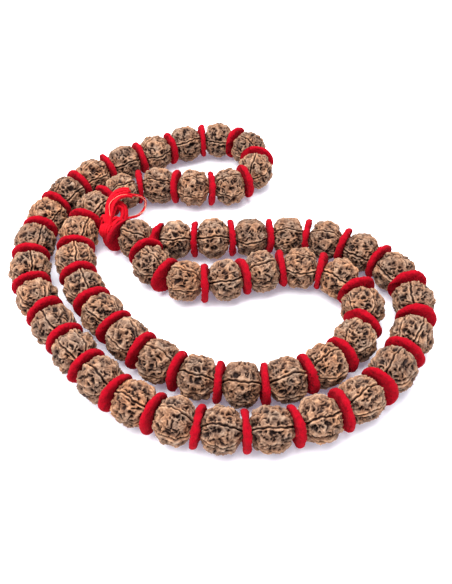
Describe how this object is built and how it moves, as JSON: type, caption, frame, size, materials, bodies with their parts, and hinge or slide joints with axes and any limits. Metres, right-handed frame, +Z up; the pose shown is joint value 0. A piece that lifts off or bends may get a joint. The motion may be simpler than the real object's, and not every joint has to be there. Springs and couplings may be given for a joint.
{
  "type": "prayer beads",
  "caption": "A long strand of knobbly brown seed beads kept apart by round red felt washers, closed at a guru bead and finished with a small red yarn tassel, laid down as a doubled loop.",
  "frame": {"origin": "on the surface the strand lies on, under the middle of its outline", "axes": "+Z up; +X to the right and +Y away from a person who faces the wide loop with the tongue at the far left"},
  "size_m": [0.2159, 0.2214, 0.0266],
  "materials": {
    "seed_shell": "matte, deeply furrowed nut shell, brown with darker pits",
    "felt": "thick fuzzy wool felt, strong red",
    "yarn": "soft twisted cotton yarn, bright red"
  },
  "bodies": {
    "strand": {"strand_main": "felt", "guru_bead": "seed_shell"},
    "far_loop": {"strand_tip": "felt"},
    "tassel": {"tassel_knot": "yarn", "tassel_threads": "yarn", "tassel_loop": "yarn"},
    "turning_bead_01": {"bead_01": "seed_shell"},
    "turning_bead_02": {"bead_02": "seed_shell"},
    "turning_bead_03": {"bead_03": "seed_shell"},
    "turning_bead_04": {"bead_04": "seed_shell"},
    "turning_bead_05": {"bead_05": "seed_shell"},
    "turning_bead_06": {"bead_06": "seed_shell"},
    "turning_bead_07": {"bead_07": "seed_shell"},
    "turning_bead_08": {"bead_08": "seed_shell"},
    "turning_bead_09": {"bead_09": "seed_shell"},
    "turning_bead_10": {"bead_10": "seed_shell"},
    "turning_bead_11": {"bead_11": "seed_shell"},
    "turning_bead_12": {"bead_12": "seed_shell"},
    "turning_bead_13": {"bead_13": "seed_shell"},
    "turning_bead_14": {"bead_14": "seed_shell"},
    "turning_bead_15": {"bead_15": "seed_shell"},
    "turning_bead_16": {"bead_16": "seed_shell"},
    "turning_bead_17": {"bead_17": "seed_shell"},
    "turning_bead_18": {"bead_18": "seed_shell"},
    "turning_bead_19": {"bead_19": "seed_shell"},
    "turning_bead_20": {"bead_20": "seed_shell"},
    "turning_bead_21": {"bead_21": "seed_shell"},
    "turning_bead_22": {"bead_22": "seed_shell"},
    "turning_bead_23": {"bead_23": "seed_shell"},
    "turning_bead_24": {"bead_24": "seed_shell"},
    "turning_bead_25": {"bead_25": "seed_shell"},
    "turning_bead_26": {"bead_26": "seed_shell"},
    "turning_bead_27": {"bead_27": "seed_shell"},
    "turning_bead_28": {"bead_28": "seed_shell"},
    "turning_bead_29": {"bead_29": "seed_shell"},
    "turning_bead_30": {"bead_30": "seed_shell"},
    "turning_bead_31": {"bead_31": "seed_shell"},
    "turning_bead_32": {"bead_32": "seed_shell"},
    "turning_bead_33": {"bead_33": "seed_shell"},
    "turning_bead_34": {"bead_34": "seed_shell"},
    "turning_bead_35": {"bead_35": "seed_shell"},
    "turning_bead_36": {"bead_36": "seed_shell"},
    "turning_bead_37": {"bead_37": "seed_shell"},
    "turning_bead_38": {"bead_38": "seed_shell"},
    "turning_bead_39": {"bead_39": "seed_shell"},
    "turning_bead_40": {"bead_40": "seed_shell"},
    "turning_bead_41": {"bead_41": "seed_shell"},
    "turning_bead_42": {"bead_42": "seed_shell"},
    "turning_bead_43": {"bead_43": "seed_shell"},
    "turning_bead_44": {"bead_44": "seed_shell"},
    "turning_bead_45": {"bead_45": "seed_shell"},
    "turning_bead_46": {"bead_46": "seed_shell"},
    "turning_bead_47": {"bead_47": "seed_shell"},
    "turning_bead_48": {"bead_48": "seed_shell"},
    "turning_bead_49": {"bead_49": "seed_shell"},
    "turning_bead_50": {"bead_50": "seed_shell"},
    "turning_bead_51": {"bead_51": "seed_shell"},
    "turning_bead_52": {"bead_52": "seed_shell"},
    "turning_bead_53": {"bead_53": "seed_shell"},
    "turning_bead_54": {"bead_54": "seed_shell"}
  },
  "joints": [
    {"name": "far_loop_lift", "type": "hinge", "parent": "strand", "child": "far_loop", "pos_m": [-0.02657, 0.0739, 0.01022], "axis": [0.1479, -0.989, 0], "range_deg": [0, 12]},
    {"name": "tassel_swing", "type": "hinge", "parent": "strand", "child": "tassel", "pos_m": [-0.05388, 0.01693, 0.01022], "axis": [0.342, 0.9397, 0], "range_deg": [0, 25]},
    {"name": "turn_bead_01", "type": "hinge", "parent": "strand", "child": "turning_bead_01", "pos_m": [-0.02196, 0.01228, 0.01022], "axis": [0.9993, 0.0374, 0], "continuous": true},
    {"name": "turn_bead_02", "type": "hinge", "parent": "strand", "child": "turning_bead_02", "pos_m": [-0.00178, 0.01303, 0.01022], "axis": [0.9993, 0.0372, 0], "continuous": true},
    {"name": "turn_bead_03", "type": "hinge", "parent": "strand", "child": "turning_bead_03", "pos_m": [0.01836, 0.01437, 0.01022], "axis": [0.9954, 0.0963, 0], "continuous": true},
    {"name": "turn_bead_04", "type": "hinge", "parent": "strand", "child": "turning_bead_04", "pos_m": [0.03834, 0.01518, 0.01022], "axis": [0.9998, -0.0175, 0], "continuous": true},
    {"name": "turn_bead_05", "type": "hinge", "parent": "strand", "child": "turning_bead_05", "pos_m": [0.05831, 0.01157, 0.01022], "axis": [0.9422, -0.335, 0], "continuous": true},
    {"name": "turn_bead_06", "type": "hinge", "parent": "strand", "child": "turning_bead_06", "pos_m": [0.07614, 0.00296, 0.01022], "axis": [0.8479, -0.5302, 0], "continuous": true},
    {"name": "turn_bead_07", "type": "hinge", "parent": "strand", "child": "turning_bead_07", "pos_m": [0.09094, -0.01079, 0.01022], "axis": [0.591, -0.8067, 0], "continuous": true},
    {"name": "turn_bead_08", "type": "hinge", "parent": "strand", "child": "turning_bead_08", "pos_m": [0.09736, -0.03045, 0.01022], "axis": [-0.0009, -1, 0], "continuous": true},
    {"name": "turn_bead_09", "type": "hinge", "parent": "strand", "child": "turning_bead_09", "pos_m": [0.09229, -0.0513, 0.01022], "axis": [-0.4376, -0.8992, 0], "continuous": true},
    {"name": "turn_bead_10", "type": "hinge", "parent": "strand", "child": "turning_bead_10", "pos_m": [0.08043, -0.06986, 0.01022], "axis": [-0.6313, -0.7756, 0], "continuous": true},
    {"name": "turn_bead_11", "type": "hinge", "parent": "strand", "child": "turning_bead_11", "pos_m": [0.06398, -0.08478, 0.01022], "axis": [-0.8347, -0.5507, 0], "continuous": true},
    {"name": "turn_bead_12", "type": "hinge", "parent": "strand", "child": "turning_bead_12", "pos_m": [0.04478, -0.09442, 0.01022], "axis": [-0.9416, -0.3368, 0], "continuous": true},
    {"name": "turn_bead_13", "type": "hinge", "parent": "strand", "child": "turning_bead_13", "pos_m": [0.02404, -0.09929, 0.01022], "axis": [-0.9928, -0.1199, 0], "continuous": true},
    {"name": "turn_bead_14", "type": "hinge", "parent": "strand", "child": "turning_bead_14", "pos_m": [0.00327, -0.09958, 0.01022], "axis": [-0.995, 0.1, 0], "continuous": true},
    {"name": "turn_bead_15", "type": "hinge", "parent": "strand", "child": "turning_bead_15", "pos_m": [-0.01639, -0.0953, 0.01022], "axis": [-0.9469, 0.3216, 0], "continuous": true},
    {"name": "turn_bead_16", "type": "hinge", "parent": "strand", "child": "turning_bead_16", "pos_m": [-0.03465, -0.08699, 0.01022], "axis": [-0.8644, 0.5029, 0], "continuous": true},
    {"name": "turn_bead_17", "type": "hinge", "parent": "strand", "child": "turning_bead_17", "pos_m": [-0.0509, -0.07502, 0.01022], "axis": [-0.7365, 0.6764, 0], "continuous": true},
    {"name": "turn_bead_18", "type": "hinge", "parent": "strand", "child": "turning_bead_18", "pos_m": [-0.06453, -0.06037, 0.01022], "axis": [-0.622, 0.783, 0], "continuous": true},
    {"name": "turn_bead_19", "type": "hinge", "parent": "strand", "child": "turning_bead_19", "pos_m": [-0.07672, -0.04501, 0.01022], "axis": [-0.621, 0.7838, 0], "continuous": true},
    {"name": "turn_bead_20", "type": "hinge", "parent": "strand", "child": "turning_bead_20", "pos_m": [-0.08801, -0.02871, 0.01022], "axis": [-0.5153, 0.857, 0], "continuous": true},
    {"name": "turn_bead_21", "type": "hinge", "parent": "strand", "child": "turning_bead_21", "pos_m": [-0.09542, -0.00986, 0.01022], "axis": [-0.2033, 0.9791, 0], "continuous": true},
    {"name": "turn_bead_22", "type": "hinge", "parent": "strand", "child": "turning_bead_22", "pos_m": [-0.097, 0.01006, 0.01022], "axis": [0.0446, 0.999, 0], "continuous": true},
    {"name": "turn_bead_23", "type": "hinge", "parent": "strand", "child": "turning_bead_23", "pos_m": [-0.09384, 0.02987, 0.01022], "axis": [0.2677, 0.9635, 0], "continuous": true},
    {"name": "turn_bead_24", "type": "hinge", "parent": "strand", "child": "turning_bead_24", "pos_m": [-0.08623, 0.04853, 0.01022], "axis": [0.4823, 0.876, 0], "continuous": true},
    {"name": "turn_bead_25", "type": "hinge", "parent": "strand", "child": "turning_bead_25", "pos_m": [-0.07326, 0.0647, 0.01022], "axis": [0.7483, 0.6633, 0], "continuous": true},
    {"name": "turn_bead_26", "type": "hinge", "parent": "strand", "child": "turning_bead_26", "pos_m": [-0.05629, 0.07677, 0.01022], "axis": [0.8705, 0.4922, 0], "continuous": true},
    {"name": "turn_bead_27", "type": "hinge", "parent": "strand", "child": "turning_bead_27", "pos_m": [-0.03839, 0.08696, 0.01022], "axis": [0.8674, 0.4976, 0], "continuous": true},
    {"name": "turn_bead_28", "type": "hinge", "parent": "far_loop", "child": "turning_bead_28", "pos_m": [-0.02005, 0.09616, 0.01022], "axis": [0.9183, 0.3959, 0], "continuous": true},
    {"name": "turn_bead_29", "type": "hinge", "parent": "far_loop", "child": "turning_bead_29", "pos_m": [0.00032, 0.10005, 0.01022], "axis": [0.9993, -0.0383, 0], "continuous": true},
    {"name": "turn_bead_30", "type": "hinge", "parent": "far_loop", "child": "turning_bead_30", "pos_m": [0.0191, 0.09095, 0.01022], "axis": [0.6487, -0.761, 0], "continuous": true},
    {"name": "turn_bead_31", "type": "hinge", "parent": "far_loop", "child": "turning_bead_31", "pos_m": [0.02239, 0.06991, 0.01022], "axis": [-0.3855, -0.9227, 0], "continuous": true},
    {"name": "turn_bead_32", "type": "hinge", "parent": "far_loop", "child": "turning_bead_32", "pos_m": [0.00684, 0.05596, 0.01022], "axis": [-0.9589, -0.2837, 0], "continuous": true},
    {"name": "turn_bead_33", "type": "hinge", "parent": "far_loop", "child": "turning_bead_33", "pos_m": [-0.01386, 0.05437, 0.01022], "axis": [-0.9922, 0.1243, 0], "continuous": true},
    {"name": "turn_bead_34", "type": "hinge", "parent": "strand", "child": "turning_bead_34", "pos_m": [-0.03396, 0.0564, 0.01022], "axis": [-0.997, 0.077, 0], "continuous": true},
    {"name": "turn_bead_35", "type": "hinge", "parent": "strand", "child": "turning_bead_35", "pos_m": [-0.05457, 0.05072, 0.01022], "axis": [-0.8045, -0.594, 0], "continuous": true},
    {"name": "turn_bead_36", "type": "hinge", "parent": "strand", "child": "turning_bead_36", "pos_m": [-0.06811, 0.03565, 0.01022], "axis": [-0.505, -0.8631, 0], "continuous": true},
    {"name": "turn_bead_37", "type": "hinge", "parent": "strand", "child": "turning_bead_37", "pos_m": [-0.07428, 0.01626, 0.01022], "axis": [-0.0861, -0.9963, 0], "continuous": true},
    {"name": "turn_bead_38", "type": "hinge", "parent": "strand", "child": "turning_bead_38", "pos_m": [-0.07305, -0.00367, 0.01022], "axis": [0.2083, -0.9781, 0], "continuous": true},
    {"name": "turn_bead_39", "type": "hinge", "parent": "strand", "child": "turning_bead_39", "pos_m": [-0.06585, -0.02236, 0.01022], "axis": [0.501, -0.8654, 0], "continuous": true},
    {"name": "turn_bead_40", "type": "hinge", "parent": "strand", "child": "turning_bead_40", "pos_m": [-0.05442, -0.03851, 0.01022], "axis": [0.6485, -0.7612, 0], "continuous": true},
    {"name": "turn_bead_41", "type": "hinge", "parent": "strand", "child": "turning_bead_41", "pos_m": [-0.04118, -0.05288, 0.01022], "axis": [0.706, -0.7082, 0], "continuous": true},
    {"name": "turn_bead_42", "type": "hinge", "parent": "strand", "child": "turning_bead_42", "pos_m": [-0.02561, -0.06542, 0.01022], "axis": [0.8426, -0.5386, 0], "continuous": true},
    {"name": "turn_bead_43", "type": "hinge", "parent": "strand", "child": "turning_bead_43", "pos_m": [-0.00747, -0.07388, 0.01022], "axis": [0.9546, -0.2979, 0], "continuous": true},
    {"name": "turn_bead_44", "type": "hinge", "parent": "strand", "child": "turning_bead_44", "pos_m": [0.012, -0.07747, 0.01022], "axis": [0.9981, -0.0617, 0], "continuous": true},
    {"name": "turn_bead_45", "type": "hinge", "parent": "strand", "child": "turning_bead_45", "pos_m": [0.03199, -0.07525, 0.01022], "axis": [0.9604, 0.2785, 0], "continuous": true},
    {"name": "turn_bead_46", "type": "hinge", "parent": "strand", "child": "turning_bead_46", "pos_m": [0.05021, -0.06738, 0.01022], "axis": [0.8611, 0.5084, 0], "continuous": true},
    {"name": "turn_bead_47", "type": "hinge", "parent": "strand", "child": "turning_bead_47", "pos_m": [0.06527, -0.05385, 0.01022], "axis": [0.5971, 0.8022, 0], "continuous": true},
    {"name": "turn_bead_48", "type": "hinge", "parent": "strand", "child": "turning_bead_48", "pos_m": [0.07183, -0.03423, 0.01022], "axis": [0.0061, 1, 0], "continuous": true},
    {"name": "turn_bead_49", "type": "hinge", "parent": "strand", "child": "turning_bead_49", "pos_m": [0.06275, -0.01542, 0.01022], "axis": [-0.7869, 0.6171, 0], "continuous": true},
    {"name": "turn_bead_50", "type": "hinge", "parent": "strand", "child": "turning_bead_50", "pos_m": [0.04347, -0.00805, 0.01022], "axis": [-0.9978, 0.0656, 0], "continuous": true},
    {"name": "turn_bead_51", "type": "hinge", "parent": "strand", "child": "turning_bead_51", "pos_m": [0.02327, -0.01077, 0.01022], "axis": [-0.9457, -0.325, 0], "continuous": true},
    {"name": "turn_bead_52", "type": "hinge", "parent": "strand", "child": "turning_bead_52", "pos_m": [0.0048, -0.01654, 0.01022], "axis": [-0.9626, -0.2709, 0], "continuous": true},
    {"name": "turn_bead_53", "type": "hinge", "parent": "strand", "child": "turning_bead_53", "pos_m": [-0.0157, -0.01684, 0.01022], "axis": [-0.9701, 0.2427, 0], "continuous": true},
    {"name": "turn_bead_54", "type": "hinge", "parent": "strand", "child": "turning_bead_54", "pos_m": [-0.03357, -0.00609, 0.01022], "axis": [-0.6739, 0.7388, 0], "continuous": true}
  ]
}
